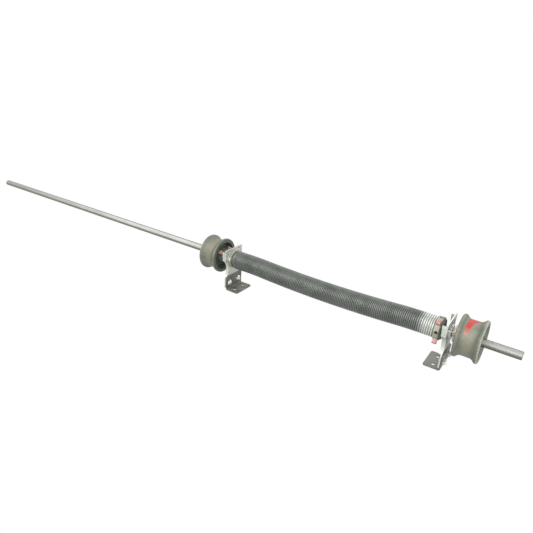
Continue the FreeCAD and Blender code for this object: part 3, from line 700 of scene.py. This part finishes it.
def faded_paper():
    """Red paper, rubbed to a dull pink where the attribute says so."""
    finish = Finish("plain_red_paper", metallic=0.0, roughness=0.6)
    skin = finish.group(SKIN, Stain_Scale=160.0, Grain_Scale=1500.0)
    fresh = finish.mix(skin["Stain"], seen(180, 56, 54), seen(196, 70, 66))
    finish.colour(finish.mix(finish.attribute("faded"), fresh, seen(176, 142, 128)))
    finish.bump(skin["Grain"], 0.1 * MM, 0.5)
    return finish.material


RED_PATCH = faded_paper()
patch = red_patch()
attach(patch, "shaft")
print("patch points:", len(patch.data.vertices))

# %% [markdown]
# ## Floor, light and camera
# The part stands on a plain pale floor. The floor and the world are white to the camera and to
# reflections, and light the part at a plain level. The camera stands right of the drum end, where the
# long bar runs away to the upper left.

# %% Floor and world
FLOOR_SIZE = 30.0
FLOOR_GREY = 0.35
ROOM_LIGHT = 0.5


def seen_rays(tree):
    """Mask of the rays that show a surface: from the camera, off a gloss or through glass."""
    rays = tree.nodes.new("ShaderNodeLightPath").outputs
    direct = math_node(tree, "MAXIMUM", rays["Is Camera Ray"], rays["Is Glossy Ray"])
    return math_node(tree, "MAXIMUM", direct, rays["Is Transmission Ray"])


def pale_floor():
    """Floor that is white where it is seen and grey where it sends light on."""
    finish = Finish("pale_floor", metallic=0.0, roughness=0.9)
    finish.shader.inputs["Base Color"].default_value = (FLOOR_GREY, FLOOR_GREY, FLOOR_GREY, 1.0)
    tree = finish.tree
    glow = tree.nodes.new("ShaderNodeEmission")
    mixer = tree.nodes.new("ShaderNodeMixShader")
    tree.links.new(seen_rays(tree), mixer.inputs[0])
    tree.links.new(finish.shader.outputs[0], mixer.inputs[1])
    tree.links.new(glow.outputs[0], mixer.inputs[2])
    tree.links.new(mixer.outputs[0], tree.nodes["Material Output"].inputs["Surface"])
    half = FLOOR_SIZE / 2
    points = np.array([[-half, -half, 0], [half, -half, 0], [half, half, 0], [-half, half, 0]])
    return mesh_piece("floor", points, [[0, 1, 2, 3]], finish.material, smooth=False)


def white_world():
    """Room that is white where it is seen and lights the part at ROOM_LIGHT."""
    world = bpy.data.worlds.new("white_room")
    world.use_nodes = True
    tree = world.node_tree
    background = tree.nodes["Background"]
    background.inputs["Color"].default_value = (1.0, 1.0, 1.0, 1.0)
    strength = math_node(tree, "MULTIPLY_ADD", seen_rays(tree), 1.0 - ROOM_LIGHT, ROOM_LIGHT)
    tree.links.new(strength, background.inputs["Strength"])
    bpy.context.scene.world = world


floor = pale_floor()
white_world()


# %% Lamps
MIDDLE = (0.45, 0.0, AXIS_Z)
DRUM_END = (0.85, 0.0, AXIS_Z)
OPEN_TURNS_PLACE = (0.7, 0.0, AXIS_Z)
LAMPS = (
    ("key_lamp", (-0.4, -1.6, 2.0), MIDDLE, 1.6, 38.0),
    ("back_lamp", (0.9, 1.8, 1.6), MIDDLE, 1.6, 18.0),
    ("end_lamp", (2.4, -0.5, 0.9), DRUM_END, 1.0, 5.5),
    ("front_lamp", (1.2, -1.3, 0.8), OPEN_TURNS_PLACE, 0.5, 9.0),
)


def soft_lamp(name, place, aim, size, power):
    """Square area lamp at a place, turned to its aim."""
    lamp = bpy.data.lights.new(name, "AREA")
    lamp.size = size
    lamp.energy = power
    holder = bpy.data.objects.new(name, lamp)
    holder.location = place
    holder.rotation_euler = (Vector(aim) - Vector(place)).to_track_quat("-Z", "Y").to_euler()
    bpy.context.scene.collection.objects.link(holder)


for lamp_values in LAMPS:
    soft_lamp(*lamp_values)
print("lamps:", len(LAMPS))

# %% Camera
CAMERA_PLACE = Vector((0.9659, -1.0278, 0.6498))
CAMERA_FORWARD = Vector((-0.4978, 0.7632, -0.4121)).normalized()
CAMERA_ROLL = math.radians(3.42)
CAMERA_LENS = 33.68
CAMERA_REACH = 100.0

level_right = CAMERA_FORWARD.cross(Vector((0, 0, 1))).normalized()
level_up = level_right.cross(CAMERA_FORWARD)
right = level_right * math.cos(CAMERA_ROLL) + level_up * math.sin(CAMERA_ROLL)
up = right.cross(CAMERA_FORWARD)
turn = Matrix((right, up, -CAMERA_FORWARD)).transposed()
camera_data = bpy.data.cameras.new("camera")
camera_data.lens = CAMERA_LENS
camera_data.clip_end = CAMERA_REACH
camera = bpy.data.objects.new("camera", camera_data)
camera.matrix_world = Matrix.Translation(CAMERA_PLACE) @ turn.to_4x4()
bpy.context.scene.collection.objects.link(camera)
bpy.context.scene.camera = camera
bpy.context.scene.view_settings.view_transform = "Standard"
